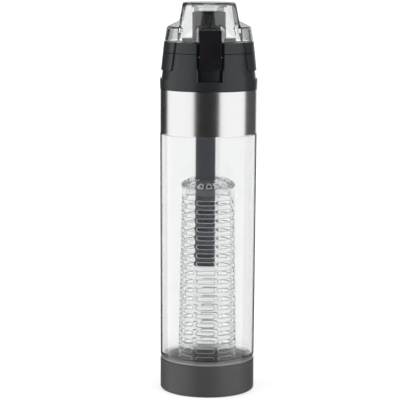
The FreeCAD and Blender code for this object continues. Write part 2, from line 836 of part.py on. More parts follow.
def flip_cap():
    """Clear cap: winged shell, catch hood in front, hinge knuckle and ear notches behind."""
    outside = cap_form("cap_outside", "0")
    hollow = cap_form("cap_hollow", "cap_wall")
    half = "hood_width / 2"
    high = "cap_low + hood_height"
    hood = new_body("cap_hood")
    sketch = sketch_on(hood, "XZ_Plane", "dome_foot_radius")
    outline(sketch, [
        (f"-{half}", "cap_low"),
        (half, "cap_low"),
        (half, high, "hood_round"),
        (f"-{half}", high, "hood_round"),
    ])
    push(hood, "Pad", sketch, "hood_front - dome_foot_radius")
    body = new_body("flip_cap")
    body.BaseFeature = joined("cap_shell", "Cut", joined("cap_blank", "Fuse", outside, hood), hollow)
    doc.recompute()
    latch_pocket(body)
    knuckle = sketch_on(body, "YZ_Plane")
    ring(knuckle, "hinge_back", "hinge_height", "knuckle_radius")
    push(body, "Pad", knuckle, "knuckle_length", middle=True)
    notch_front = "ear_root - free_gap * 2"
    notch_back = "hinge_back + ear_radius + cut_overrun"
    for start in ("ear_outside + free_gap", "-knuckle_length / 2"):
        sketch = sketch_on(body, "YZ_Plane", start)
        outline(sketch, box_corners(notch_front, "cap_low - cut_overrun", notch_back, "ear_notch_top"))
        push(body, "Pocket", sketch, "ear_thick + free_gap * 2")
    hole_length = "knuckle_length + cut_overrun"
    cross_hole(body, "hinge_back", "hinge_height", "hinge_pin_radius + running_gap", hole_length)
    return body


def latch_pocket(body):
    """The hood's pocket for the latch, with a deeper recess for the latch's nose."""
    inside = "(hood_width / 2 - hood_wall)"
    pocket = sketch_on(body, "XZ_Plane", "hood_front + cut_overrun")
    outline(pocket, box_corners(f"-{inside}", "cap_low - cut_overrun", inside, "latch_top + hood_play"))
    push(body, "Pocket", pocket, "hood_front + cut_overrun - hood_back")
    reach = "(nose_width / 2 + free_gap)"
    catch = sketch_on(body, "XZ_Plane", "hood_front + cut_overrun")
    outline(catch, box_corners(f"-{reach}", "nose_low - free_gap", reach, "nose_high + free_gap"))
    push(body, "Pocket", catch, "hood_front + cut_overrun - hood_back + catch_depth")


def cap_seal():
    """Pad under the dome's ceiling, just over the spout's lip."""
    turned_piece("cap_seal", [
        ("0", "spout_top + free_gap"),
        ("seal_foot_radius", "spout_top + free_gap"),
        ("seal_foot_radius", "dome_ceiling - seal_foot_thick"),
        ("seal_radius", "dome_ceiling - seal_foot_thick"),
        ("seal_radius", "dome_ceiling"),
        ("0", "dome_ceiling"),
    ])


def latch_button():
    """Rocking latch: a plate creased at its pivot, a boss round the pin and a nose that faces the catch."""
    body = block("latch_button", "YZ_Plane", [
        ("-latch_back", "latch_top", "latch_round"),
        ("-latch_end_front", "latch_top", "latch_round"),
        ("-latch_front", "latch_pin_height"),
        ("-latch_end_front", "latch_foot", "latch_round"),
        ("-latch_back", "latch_foot", "latch_round"),
    ], "latch_width")
    boss = sketch_on(body, "YZ_Plane")
    boss_low = "latch_pin_height - latch_boss_radius"
    boss_high = "latch_pin_height + latch_boss_radius"
    boss_back = "latch_boss_radius - latch_pin_back"
    outline(boss, [
        ("-latch_end_front", boss_low),
        (boss_back, boss_low, "latch_boss_round"),
        (boss_back, boss_high, "latch_boss_round"),
        ("-latch_end_front", boss_high),
    ])
    push(body, "Pad", boss, "latch_width", middle=True)
    nose = sketch_on(body, "YZ_Plane")
    outline(nose, [
        ("-latch_end_front", "nose_low"),
        ("-nose_reach", "nose_low"),
        ("-latch_back", "nose_high"),
        ("-latch_end_front", "nose_high"),
    ])
    push(body, "Pad", nose, "nose_width", middle=True)
    hole_length = "latch_width + cut_overrun"
    cross_hole(body, "-latch_pin_back", "latch_pin_height", "latch_pin_radius + running_gap", hole_length)
    return body


def latch_spring():
    """Leaf folded to a V between the lid core and the latch's foot."""
    seat = "(core_radius + seat_gap)"
    tip = "(latch_back - running_gap)"
    high = "spring_foot + spring_height"
    block("latch_spring", "YZ_Plane", [
        (f"-{seat}", "spring_foot"),
        (f"-{seat}", high),
        (f"-{seat} - spring_sheet", high),
        (f"-{seat} - spring_sheet", "spring_foot + spring_fold"),
        (f"-{tip} + spring_sheet", high),
        (f"-{tip}", high),
        (f"-{seat} - spring_sheet", "spring_foot"),
    ], "spring_width")


NODES = [
    "base_cup", "base_gasket", "body_tube", "steel_band", "infuser_basket", "infuser_cap", "straw",
    "straw_grommet", "lid_gasket", "lid_core", "lid_skirt", "lid_deck", "grip_pad_left", "grip_pad_right",
    "spout", "spout_seal", "vent_valve", "flip_cap", "cap_seal", "cap_hinge_pin", "latch_button", "latch_pin",
    "latch_spring",
]


def build():
    base_cup()
    sealing_ring("base_gasket", "lower_neck_bore", "lower_neck_radius", "floor_top", "base_gasket_thick")
    body_tube()
    steel_band()
    infuser_basket()
    infuser_cap()
    straw()
    straw_grommet()
    sealing_ring("lid_gasket", "mouth_radius", "mouth_neck_radius", "mouth_top", "lid_gasket_thick")
    lid_core()
    recess, channel, within = groove_cutters()
    lid_skirt(recess)
    lid_deck(channel)
    grip_pads(within)
    spout()
    seal_bore = "straw_radius + straw_offset"
    sealing_ring("spout_seal", seal_bore, "spout_flange_radius", "plate_top", "spout_seal_thick")
    vent_valve()
    flip_cap()
    cap_seal()
    cross_pin("cap_hinge_pin", "hinge_back", "hinge_height", "hinge_pin_radius", "ear_outside * 2")
    latch_button()
    grip_length = "channel_width + latch_pin_grip * 2"
    cross_pin("latch_pin", "-latch_pin_back", "latch_pin_height", "latch_pin_radius", grip_length)
    latch_spring()
    doc.recompute()


def write_nodes():
    """Checks every object, then writes one file per piece."""
    for item in doc.Objects:
        if "Invalid" in item.State or "Error" in item.State:
            raise ValueError(f"{item.Label} failed: {item.State}")
    pieces = {label: doc.getObjectsByLabel(label)[0].Shape for label in NODES}
    for label, shape in pieces.items():
        if shape.isNull() or not shape.isValid() or len(shape.Solids) != 1:
            raise ValueError(f"{label} is not one good solid")
    os.makedirs("parts", exist_ok=True)
    for label, shape in pieces.items():
        shape.exportStep(f"parts/{label}.step")
        print(f"{label}: {shape.Volume:.1f} mm3")


build()
write_nodes()
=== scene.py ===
"""Looks of the fruit infuser water bottle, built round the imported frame.

The scene is in metres, Z up, with the latch at the front (-Y). The bottle's named sizes are in millimetres.
"""
import bmesh
import bpy
import math
from mathutils import Matrix, Vector


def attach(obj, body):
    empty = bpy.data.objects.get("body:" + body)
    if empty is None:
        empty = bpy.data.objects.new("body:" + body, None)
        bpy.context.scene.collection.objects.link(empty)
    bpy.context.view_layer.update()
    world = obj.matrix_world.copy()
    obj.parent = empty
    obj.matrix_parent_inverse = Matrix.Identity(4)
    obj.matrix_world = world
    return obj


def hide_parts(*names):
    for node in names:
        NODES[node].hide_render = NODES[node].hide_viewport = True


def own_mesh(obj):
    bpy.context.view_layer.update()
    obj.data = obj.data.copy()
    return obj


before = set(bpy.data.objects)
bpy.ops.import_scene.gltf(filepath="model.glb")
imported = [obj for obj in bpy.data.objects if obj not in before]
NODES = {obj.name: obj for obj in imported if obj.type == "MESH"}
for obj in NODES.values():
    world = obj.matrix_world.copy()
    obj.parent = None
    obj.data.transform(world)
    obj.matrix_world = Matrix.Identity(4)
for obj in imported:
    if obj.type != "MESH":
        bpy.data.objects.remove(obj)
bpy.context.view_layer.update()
MM = 0.001
SCENE = bpy.context.scene
WHITE = (1.0, 1.0, 1.0, 1.0)


# Camera, as fitted to the photograph, in metres, degrees and pixels
CAMERA_DISTANCE = 1250 * MM
CAMERA_HEIGHT = 322 * MM
CAMERA_AZIMUTH = -2.0
CAMERA_PITCH = 8.3
CAMERA_ROLL = 0.3
FOCAL_PIXELS = 1730
FRAME_PIXELS = 400
SENSOR = 36.0
AXIS_PIXELS_RIGHT = 8.1
FAR_CLIP = 60.0


def add_camera():
    data = bpy.data.cameras.new("camera")
    data.sensor_width = SENSOR
    data.lens = FOCAL_PIXELS / FRAME_PIXELS * SENSOR
    data.clip_end = FAR_CLIP
    camera = bpy.data.objects.new("camera", data)
    SCENE.collection.objects.link(camera)
    turn = math.radians(CAMERA_AZIMUTH)
    camera.location = (CAMERA_DISTANCE * math.sin(turn), -CAMERA_DISTANCE * math.cos(turn), CAMERA_HEIGHT)
    yaw = turn + math.atan(AXIS_PIXELS_RIGHT / FOCAL_PIXELS)
    pitch = math.radians(90 - CAMERA_PITCH)
    roll = math.radians(CAMERA_ROLL)
    facing = Matrix.Rotation(yaw, 4, "Z") @ Matrix.Rotation(pitch, 4, "X") @ Matrix.Rotation(roll, 4, "Z")
    camera.rotation_euler = facing.to_euler()
    SCENE.camera = camera


class Nodes:
    """Short calls for building a node tree. An input is given by its name, or as i0, i1 and so on."""

    def __init__(self, tree):
        self.tree = tree
        tree.nodes.clear()

    def add(self, kind, settings=None, **inputs):
        node = self.tree.nodes.new(kind)
        for name, value in (settings or {}).items():
            setattr(node, name, value)
        for name, value in inputs.items():
            numbered = name[0] == "i" and name[1:].isdigit()
            self.feed(node.inputs[int(name[1:]) if numbered else name], value)
        return node

    def feed(self, socket, value):
        if isinstance(value, bpy.types.NodeSocket):
            self.tree.links.new(value, socket)
        else:
            socket.default_value = value

    def math(self, operation, first, second=0.0):
        return self.add("ShaderNodeMath", {"operation": operation}, i0=first, i1=second).outputs[0]

    def step(self, value, low, high, start=0.0, stop=1.0):
        """A smooth rise from start to stop as the value goes from low to high."""
        node = self.add("ShaderNodeMapRange", {"interpolation_type": "SMOOTHSTEP"}, i0=value)
        for index, number in enumerate((low, high, start, stop), start=1):
            self.feed(node.inputs[index], number)
        return node.outputs[0]

    def ramp(self, value, positions, colours):
        """A ramp from one colour to another as the value goes between two positions."""
        node = self.add("ShaderNodeValToRGB", Fac=value)
        for element, position, colour in zip(node.color_ramp.elements, positions, colours):
            element.position = position
            element.color = (*colour, 1.0)
        return node.outputs[0]

    def noise(self, vector, scale, detail=2.0):
        return self.add("ShaderNodeTexNoise", Vector=vector, Scale=scale, Detail=detail).outputs[0]


# Studio: panels left, right and behind as (from, to) compass degrees, dim gaps between, a lamp overhead
PANEL_LIGHT = 1.5
BACK_LIGHT = 1.0
GAP_LIGHT = 0.04
DIM_LIGHT = 0.08
TOP_LIGHT = 0.9
LAMP_LIGHT = 6.0
LEFT_PANEL = (-117.0, -36.0)
RIGHT_PANEL = (24.0, 95.0)
RIGHT_DIM = (95.0, 170.0)
BACK_PANELS = ((152.0, 190.0), (-190.0, -164.0))
PANEL_SOFTNESS = 3.0

# How steeply up a direction points, from 0 to 1, where the light overhead and its lamp set in
TOP_EDGE = (0.75, 0.95)
LAMP_EDGE = (0.955, 0.975)

# The floor, a disc in metres
FLOOR_RADIUS = 40.0
FLOOR_SIDES = 64
FLOOR_GLOW = 0.56
FLOOR_COLOUR = (0.5, 0.5, 0.5)


def compass(n, place):
    """The angle of a direction round the bottle, in degrees: 0 at the camera, rising to the right."""
    front = n.math("MULTIPLY", place[1], -1.0)
    return n.math("MULTIPLY", n.math("ARCTAN2", place[0], front), 180.0 / math.pi)


def band(n, angle, low, high):
    """1 between two angles and 0 beside them, with soft edges."""
    rise = n.step(angle, low - PANEL_SOFTNESS, low + PANEL_SOFTNESS)
    fall = n.step(angle, high - PANEL_SOFTNESS, high + PANEL_SOFTNESS, 1.0, 0.0)
    return n.math("MULTIPLY", rise, fall)


def add_world():
    world = bpy.data.worlds.new("studio")
    world.use_nodes = True
    SCENE.world = world
    n = Nodes(world.node_tree)
    way = n.add("ShaderNodeTexCoord").outputs["Generated"]
    parts = n.add("ShaderNodeSeparateXYZ", i0=way).outputs
    angle = compass(n, parts)
    sides = n.math("ADD", band(n, angle, *LEFT_PANEL), band(n, angle, *RIGHT_PANEL))
    back = n.math("ADD", *[band(n, angle, *panel) for panel in BACK_PANELS])
    light = n.math("ADD", n.math("MULTIPLY", sides, PANEL_LIGHT - GAP_LIGHT), GAP_LIGHT)
    light = n.math("ADD", light, n.math("MULTIPLY", back, BACK_LIGHT - GAP_LIGHT))
    light = n.math("ADD", light, n.math("MULTIPLY", band(n, angle, *RIGHT_DIM), DIM_LIGHT))
    overhead = n.step(parts[2], *TOP_EDGE)
    mixed = n.add("ShaderNodeMix", i0=overhead, i2=light, i3=TOP_LIGHT).outputs[0]
    mixed = n.math("ADD", mixed, n.step(parts[2], *LAMP_EDGE, 0.0, LAMP_LIGHT))
    seen = n.add("ShaderNodeLightPath").outputs["Is Camera Ray"]
    strength = n.add("ShaderNodeMix", i0=seen, i2=mixed, i3=1.0).outputs[0]
    background = n.add("ShaderNodeBackground", Strength=strength, Color=WHITE)
    n.add("ShaderNodeOutputWorld", Surface=background.outputs[0])


def add_floor():
    """A wide pale floor: partly glowing where it is looked at, so that it is white and keeps the shadow."""
    mesh = bpy.data.meshes.new("floor")
    angles = [2 * math.pi * side / FLOOR_SIDES for side in range(FLOOR_SIDES)]
    corners = [(FLOOR_RADIUS * math.cos(angle), FLOOR_RADIUS * math.sin(angle), 0.0) for angle in angles]
    mesh.from_pydata(corners, [], [tuple(range(FLOOR_SIDES))])
    floor = bpy.data.objects.new("floor", mesh)
    SCENE.collection.objects.link(floor)
    material = bpy.data.materials.new("floor")
    material.use_nodes = True
    n = Nodes(material.node_tree)
    rays = n.add("ShaderNodeLightPath").outputs
    seen = n.math("MAXIMUM", rays["Is Camera Ray"], rays["Is Transmission Ray"])
    matte = n.add("ShaderNodeBsdfDiffuse", Color=(*FLOOR_COLOUR, 1.0)).outputs[0]
    glow = n.add("ShaderNodeEmission", Color=WHITE)
    n.feed(glow.inputs["Strength"], n.math("MULTIPLY", seen, FLOOR_GLOW))
    both = n.add("ShaderNodeAddShader", i0=matte, i1=glow.outputs[0]).outputs[0]
    n.add("ShaderNodeOutputMaterial", Surface=both)
    mesh.materials.append(material)
    floor.visible_glossy = False


def new_material(name):
    material = bpy.data.materials.new(name)
    material.use_nodes = True
    return material, Nodes(material.node_tree)


# Moulded plastic: how its colour clouds and gloss vary, its grain and its soft edges
CLOUD_SCALE = 60.0
CLOUD_EDGES = (0.3, 0.7)
CLOUD_DETAIL = 3.0
GLOSS_SHARES = (0.92, 1.1)
GRAIN_DEPTH = 0.05
EDGE_ROUND = 0.25
EDGE_SAMPLES = 6


def plastic(name, colour, fleck, roughness, grain, grain_scale, ior=1.5):
    """Moulded plastic: a fine-grained skin, soft at its edges, whose colour and gloss vary a little."""
    material, n = new_material(name)
    place = n.add("ShaderNodeTexCoord").outputs["Object"]
    cloud = n.noise(place, CLOUD_SCALE, CLOUD_DETAIL)
    fine = n.noise(place, grain_scale)
    tone = n.ramp(cloud, CLOUD_EDGES, (colour, fleck))
    rough = n.step(cloud, *CLOUD_EDGES, *[roughness * share for share in GLOSS_SHARES])
    edge = n.add("ShaderNodeBevel", {"samples": EDGE_SAMPLES}, Radius=EDGE_ROUND * MM).outputs[0]
    bump = n.add("ShaderNodeBump", Strength=grain, Distance=GRAIN_DEPTH * MM, Height=fine, Normal=edge)
    shader = n.add("ShaderNodeBsdfPrincipled", IOR=ior)
    n.feed(shader.inputs["Base Color"], tone)
    n.feed(shader.inputs["Roughness"], rough)
    n.feed(shader.inputs["Normal"], bump.outputs[0])
    n.add("ShaderNodeOutputMaterial", Surface=shader.outputs[0])
    return material


# Clear plastic: where its edge-on colour, a painted shade where dark, and its painted dark outline set in as
# it turns edge on, its soft edges and its haze
TINT_TO_SHADE_EDGES = (0.7, 0.9)
OUTLINE_SHADE_EDGES = (0.66, 0.86)
OUTLINE_SHADE_COLOUR = (0.03, 0.032, 0.034, 1.0)
CLEAR_EDGE = 0.2
CLEAR_SAMPLES = 4
HAZE_COLOUR = (0.96, 0.97, 1.0, 1.0)
# The grey that paints shade on the cap's thick parts
CAP_SHADE_GREY = (0.42, 0.43, 0.435)

# Where a colour mixer takes its share and its two colours, and where it gives the result
COLOUR_SOCKETS = (0, 6, 7)
COLOUR_RESULT = 2

# The bottle wall's pale ring at its foot, and the middle of the wall, which parts its two faces
FOOT_FADE = 4.2
FOOT_HAZE = 0.34
WALL_MIDDLE = 32.6
WALL_FADE = 0.8


def wall_marks(n, foot):
    """Where a place on the bottle wall is in the ring at its foot, and where on the tube's inner face."""
    place = n.add("ShaderNodeSeparateXYZ", i0=n.add("ShaderNodeTexCoord").outputs["Object"]).outputs
    below = n.step(place[2], foot * MM, (foot + FOOT_FADE) * MM, 1.0, 0.0)
    ring = n.math("MULTIPLY", below, n.step(place[2], (foot - FOOT_FADE) * MM, foot * MM))
    squares = [n.math("MULTIPLY", axis, axis) for axis in place[:2]]
    radius = n.math("SQRT", n.math("ADD", *squares))
    inner = n.step(radius, WALL_MIDDLE * MM, (WALL_MIDDLE + WALL_FADE) * MM, 1.0, 0.0)
    under_band = n.step(place[2], BAND_BOTTOM * MM, (BAND_BOTTOM + FOOT_FADE) * MM, 1.0, 0.0)
    over_foot = n.math("SUBTRACT", 1.0, below)
    return ring, n.math("MULTIPLY", n.math("MULTIPLY", inner, under_band), over_foot)


def clear_plastic(name, tint, rim, edge=0.0, haze=0.0, roughness=0.0, ior=1.49, shade_mask=None, foot=None):
    """Clear moulded plastic: tinted face on and rim-coloured edge on, where a dark rim is painted shade; a
    painted dark outline by a share edge; and hazy by a share haze.

    The mask function gives the places where the moulding is thick, which get a painted grey shade, and foot
    the height of a bottle wall's pale foot.
    """
    material, n = new_material(name)
    facing = n.add("ShaderNodeLayerWeight", Blend=0.5).outputs["Facing"]
    if foot is not None:
        ring, inner = wall_marks(n, foot)
        # The foot's ring and the tube's inner face get no painted edge shade and no painted outline
        facing = n.math("MULTIPLY", facing, n.math("SUBTRACT", 1.0, n.math("MAXIMUM", ring, inner)))
        haze = n.math("ADD", n.math("MULTIPLY", ring, FOOT_HAZE), haze)
    # Painted shade: a dark rim colour darkens the plastic as it turns edge on
    colour = n.ramp(facing, TINT_TO_SHADE_EDGES, (tint, rim))
    # Painted shade: the colour is multiplied by a grey where the moulding is thick
    if shade_mask is not None:
        shaded_colour = n.add("ShaderNodeMix", {"data_type": "RGBA", "blend_type": "MULTIPLY"})
        for socket, value in zip(COLOUR_SOCKETS, (shade_mask(n), colour, (*CAP_SHADE_GREY, 1.0))):
            n.feed(shaded_colour.inputs[socket], value)
        colour = shaded_colour.outputs[COLOUR_RESULT]
    shader = n.add("ShaderNodeBsdfPrincipled", Roughness=roughness, IOR=ior)
    shader.inputs["Transmission Weight"].default_value = 1.0
    n.feed(shader.inputs["Base Color"], colour)
    soft = n.add("ShaderNodeBevel", {"samples": CLEAR_SAMPLES}, Radius=CLEAR_EDGE * MM).outputs[0]
    n.feed(shader.inputs["Normal"], soft)
    milk = n.add("ShaderNodeBsdfDiffuse", Color=HAZE_COLOUR).outputs[0]
    hazy = n.add("ShaderNodeMixShader", i0=haze, i1=shader.outputs[0], i2=milk).outputs[0]
    # Painted shade: a dark matte outline mixed in as the surface turns edge on
    outline_shade = n.add("ShaderNodeBsdfDiffuse", Color=OUTLINE_SHADE_COLOUR).outputs[0]
    outline = n.step(facing, *OUTLINE_SHADE_EDGES, 0.0, edge)
    both = n.add("ShaderNodeMixShader", i0=outline, i1=hazy, i2=outline_shade).outputs[0]
    n.add("ShaderNodeOutputMaterial", Surface=both)
    return material


# Where the cap gets painted shade, at its thick moulding: its wings, its catch hood and the top of its dome,
# in millimetres
WING_SHARE = 0.39
WING_EDGES = (-0.2, 0.6)
CAP_LOW = 256.2
WINDOW_FOOT = 23.2
DOME_TOP_RADIUS = 18.9
DOME_TOP = 283.4
DOME_CEILING = 281.6
HOOD_HALF = 10.05
HOOD_TOP = 267.8
HOOD_FROM = 24.0
HOOD_DEPTH = 1.0
HOOD_FADE = 0.6
TOP_FADE = 0.4


def cap_painted_shade(n):
    """Painted shade on the cap where its moulding is thick: from 0 in the window to 1 in the hood and the
    top, and to WING_SHARE in the wings.
    """
    place = n.add("ShaderNodeSeparateXYZ", i0=n.add("ShaderNodeTexCoord").outputs["Object"]).outputs
    across = n.math("ABSOLUTE", n.math("DIVIDE", place[0], MM))
    front = n.math("DIVIDE", place[1], -MM)
    height = n.math("DIVIDE", place[2], MM)
    lean = (WINDOW_FOOT - DOME_TOP_RADIUS) / (DOME_TOP - CAP_LOW)
    window = n.math("ADD", n.math("MULTIPLY", height, -lean), WINDOW_FOOT + lean * CAP_LOW)
    wings = n.step(n.math("SUBTRACT", across, window), *WING_EDGES, 0.0, WING_SHARE)
    top = n.step(height, DOME_CEILING - TOP_FADE, DOME_CEILING)
    beside = n.step(across, HOOD_HALF, HOOD_HALF + HOOD_FADE, 1.0, 0.0)
    below = n.step(height, HOOD_TOP, HOOD_TOP + HOOD_FADE, 1.0, 0.0)
    ahead = n.step(front, HOOD_FROM, HOOD_FROM + HOOD_DEPTH)
    hood = n.math("MULTIPLY", n.math("MULTIPLY", beside, below), ahead)
    return n.math("MAXIMUM", n.math("MAXIMUM", wings, top), hood)


# Brushed steel: fine lines, close together upwards, in its colour, gloss and surface
BRUSH_SCALE = (25.0, 25.0, 3000.0)
BRUSH_DETAIL = 3.0
BRUSH_STRENGTH = 0.12
BRUSH_DEPTH = 0.02
BRUSH_TONE_EDGES = (0.2, 0.8)
BRUSH_TONE_SHARE = 0.94
BRUSH_GLOSS_EDGES = (0.25, 0.75)
BRUSH_GLOSS_SHARES = (0.8, 1.25)


def brushed_steel(name, colour, roughness):
    """Steel brushed round its axis: long fine lines in the gloss and the surface."""
    material, n = new_material(name)
    place = n.add("ShaderNodeTexCoord").outputs["Object"]
    stretched = n.add("ShaderNodeMapping", Vector=place, Scale=BRUSH_SCALE).outputs[0]
    lines = n.noise(stretched, 1.0, BRUSH_DETAIL)
    darker = [part * BRUSH_TONE_SHARE for part in colour]
    rough = n.step(lines, *BRUSH_GLOSS_EDGES, *[roughness * share for share in BRUSH_GLOSS_SHARES])
    bump = n.add("ShaderNodeBump", Strength=BRUSH_STRENGTH, Distance=BRUSH_DEPTH * MM, Height=lines)
    shader = n.add("ShaderNodeBsdfPrincipled", Metallic=1.0)
    n.feed(shader.inputs["Base Color"], n.ramp(lines, BRUSH_TONE_EDGES, (darker, colour)))
    n.feed(shader.inputs["Roughness"], rough)
    n.feed(shader.inputs["Normal"], bump.outputs[0])
    n.add("ShaderNodeOutputMaterial", Surface=shader.outputs[0])
    return material


# Silicone: fine mottling of its colour and gloss
MOTTLE_SCALE = 400.0
MOTTLE_TONE_SHARE = 0.9
MOTTLE_ROUGHNESS = (0.5, 0.62)


def silicone(name, colour, sheen):
    """Soft silicone: matte, with a light skin of dust-fine mottling."""
    material, n = new_material(name)
    place = n.add("ShaderNodeTexCoord").outputs["Object"]
    cloud = n.noise(place, MOTTLE_SCALE, CLOUD_DETAIL)
    darker = [part * MOTTLE_TONE_SHARE for part in colour]
    shader = n.add("ShaderNodeBsdfPrincipled")
    n.feed(shader.inputs["Base Color"], n.ramp(cloud, CLOUD_EDGES, (darker, colour)))
    n.feed(shader.inputs["Roughness"], n.step(cloud, *CLOUD_EDGES, *MOTTLE_ROUGHNESS))
    shader.inputs["Sheen Weight"].default_value = sheen
    n.add("ShaderNodeOutputMaterial", Surface=shader.outputs[0])
    return material


def add_plastics():
    """The opaque mouldings, each with two close colours that cloud into each other."""
    return {
        "lid": plastic(
            "lid_plastic", (0.02, 0.026, 0.029), (0.025, 0.031, 0.034),
            roughness=0.3, grain=0.25, grain_scale=9000.0, ior=1.38,
        ),
        "base": plastic(
            "base_plastic", (0.066, 0.068, 0.067), (0.076, 0.077, 0.076),
            roughness=0.5, grain=0.35, grain_scale=7000.0,
        ),
        "latch": plastic(
            "latch_plastic", (0.006, 0.006, 0.009), (0.008, 0.008, 0.011),
            roughness=0.32, grain=0.15, grain_scale=9000.0,
        ),
        "straw": plastic(
            "straw_plastic", (0.007, 0.02, 0.039), (0.01, 0.024, 0.045),
            roughness=0.3, grain=0.1, grain_scale=6000.0, ior=1.32,
        ),
        "spout": plastic(
            "spout_plastic", (0.003, 0.004, 0.005), (0.005, 0.006, 0.007),
            roughness=0.12, grain=0.08, grain_scale=6000.0, ior=1.45,
        ),
    }


def add_clear_plastics():
    """The clear mouldings, each with its colour face on and edge on."""
    return {
        # The wall's and the cap's dark rim colours and their outline shares are painted shade at their edges
        "wall": clear_plastic(
            "wall_clear", (0.855, 0.862, 0.857), (0.05, 0.055, 0.06), edge=0.95, foot=TUBE_SHOULDER,
        ),
        "infuser": clear_plastic(
            "infuser_clear", (0.995, 0.997, 1.0), (0.93, 0.94, 0.96), edge=0.03, haze=0.03, ior=1.08,
        ),
        "cap": clear_plastic(
            "cap_clear", (0.9, 0.91, 0.91), (0.25, 0.26, 0.27), edge=0.4, shade_mask=cap_painted_shade,
        ),
        "infuser_lid": clear_plastic(
            "infuser_lid_clear", (0.97, 0.98, 1.0), (0.93, 0.95, 0.97), haze=0.05, ior=1.2,
        ),
        # Rounded edge rims whose white haze paints the highlights along the edges of the slots and arches
        "rim_highlight": clear_plastic(
            "rim_highlight_clear", (0.98, 0.985, 0.99), (0.93, 0.94, 0.96), haze=0.75, ior=1.2,
        ),
        "pale_seal": clear_plastic(
            "pale_silicone", (0.9, 0.91, 0.92), (0.6, 0.61, 0.62), roughness=0.25, ior=1.41,
        ),
    }


def add_materials():
    return {
        **add_plastics(),
        **add_clear_plastics(),
        "steel": brushed_steel("band_steel", (0.625, 0.625, 0.624), roughness=0.2),
        "pin": brushed_steel("pin_steel", (0.6, 0.6, 0.6), roughness=0.25),
        "seal": silicone("seal_silicone", (0.5, 0.51, 0.52), sheen=0.2),
    }


FINISHES = {
    "lid": ["lid_skirt", "lid_deck", "lid_core", "grip_pad_left", "grip_pad_right"],
    "base": ["base_cup"],
    "latch": ["latch_button"],
    "straw": ["straw"],
    "spout": ["spout"],
    "wall": ["body_tube"],
    "infuser": ["infuser_basket"],
    "infuser_lid": ["infuser_cap"],
    "cap": ["flip_cap"],
    "steel": ["steel_band"],
    "pin": ["cap_hinge_pin", "latch_pin", "latch_spring"],
    "seal": ["base_gasket", "lid_gasket", "spout_seal", "straw_grommet", "vent_valve"],
    "pale_seal": ["cap_seal"],
}


def dress_nodes(materials):
    for finish, names in FINISHES.items():
        for name in names:
            slots = NODES[name].data.materials
            slots.clear()
            slots.append(materials[finish])


# The bottle wall, which is remade here with rounded edges and threads
NECK_FOOT = 6.0
TUBE_SHOULDER = 23.2
BAND_BOTTOM = 189.5
SHOULDER_TOP = 221.1
MOUTH_TOP = 238.4
LOWER_NECK = 31.0
MOUTH_NECK = 27.0
NECK_WALL = 2.3
TUBE_FOOT = 34.3
TUBE_TOP = 35.0
TUBE_WALL = 2.3
FOOT_ROUND = 0.9
FOOT_SLOPE = 4.0
BAND_SEAT = 34.45
BAND_GROOVE = 0.6
LIP_ROUND = 0.6
BAND_LIP_ROUND = LIP_ROUND / 3
THREAD_HEIGHT = 0.45
THREAD_PITCH = 4.2
THREAD_RUN_OUT = 1.6
THREAD_ROW = 0.3

# The infuser basket, which is remade here with rounded slots
FLOOR_TOP = 4.0
BASKET_FOOT = 21.5
BASKET_TOP = 18.95
BASKET_HEIGHT = 145.6
BASKET_WALL = 1.8
BASKET_FLOOR = 2.0
BASKET_TURN = -6.5
BASKET_FRONT = math.radians(BASKET_TURN - 90)
SLOT_HALF_WIDTH = 6.4
SLOT_HALF_HEIGHT = 1.35
SLOT_ROUND = 1.2
SLOT_EDGE = 0.25
SLOT_PITCH = 6.35
SLOT_FIRST = 25.5
SLOT_ROWS = 19
SLOT_COLUMNS = 8

# How finely the remade pieces are divided, round their arcs, round the axis and round a slot's cell
ROUND_STEPS = 5
TURN_STEPS = 256
ARC_STEPS = 3
CELL_ACROSS = 16
CELL_UP = 8
CELL_STEPS = (CELL_ACROSS, CELL_UP, CELL_ACROSS, CELL_UP)
CELL_CORNERS = ((-1, -1), (1, -1), (1, 1), (-1, 1))

# How near places count as one, in millimetres, and the degrees past which an edge stays sharp
WELD = 0.002
SAME_RADIUS = 0.06
SAME_PLACE = 0.25
WALL_CREASE = 40.0
BASKET_CREASE = 50.0
SPRING_CREASE = 40.0


def new_piece(name, body, material, corners, faces, crease=None):
    """A mesh piece, given in millimetres, that rides on a body. Edges past the crease angle stay sharp."""
    mesh = bpy.data.meshes.new(name)
    mesh.from_pydata([Vector(corner) * MM for corner in corners], [], faces)
    work = bmesh.new()
    work.from_mesh(mesh)
    bmesh.ops.remove_doubles(work, verts=work.verts, dist=WELD * MM)
    bmesh.ops.recalc_face_normals(work, faces=work.faces)
    work.to_mesh(mesh)
    work.free()
    mesh.shade_smooth()
    if crease is not None:
        mesh.set_sharp_from_angle(angle=math.radians(crease))
    mesh.materials.append(material)
    piece = bpy.data.objects.new(name, mesh)
    SCENE.collection.objects.link(piece)
    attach(piece, body)
    return piece


def rounded(corners):
    """Points of a closed profile through (radius, height) corners, with an arc at those with a third size."""
    points = []
    for i, corner in enumerate(corners):
        place = Vector(corner[:2])
        if len(corner) == 2:
            points.append(place)
            continue
        back = (Vector(corners[i - 1][:2]) - place).normalized()
        on = (Vector(corners[(i + 1) % len(corners)][:2]) - place).normalized()
        half = back.angle(on) / 2
        middle = place + (back + on).normalized() * (corner[2] / math.sin(half))
        first = place + back * (corner[2] / math.tan(half)) - middle
        last = place + on * (corner[2] / math.tan(half)) - middle
        for step in range(ROUND_STEPS + 1):
            share = step / ROUND_STEPS
            points.append(middle + (first * (1 - share) + last * share).normalized() * corner[2])
    return points


def divided(points, low, high, radius):
    """The points, with the upright run at a radius between two heights divided into fine rows."""
    result = []
    for i, point in enumerate(points):
        result.append(point)
        after = points[(i + 1) % len(points)]
        on_run = all(abs(end.x - radius) < SAME_RADIUS and low <= end.y <= high for end in (point, after))
        if on_run:
            count = max(1, round(abs(after.y - point.y) / THREAD_ROW))
            result += [point.lerp(after, step / count) for step in range(1, count)]
    return result


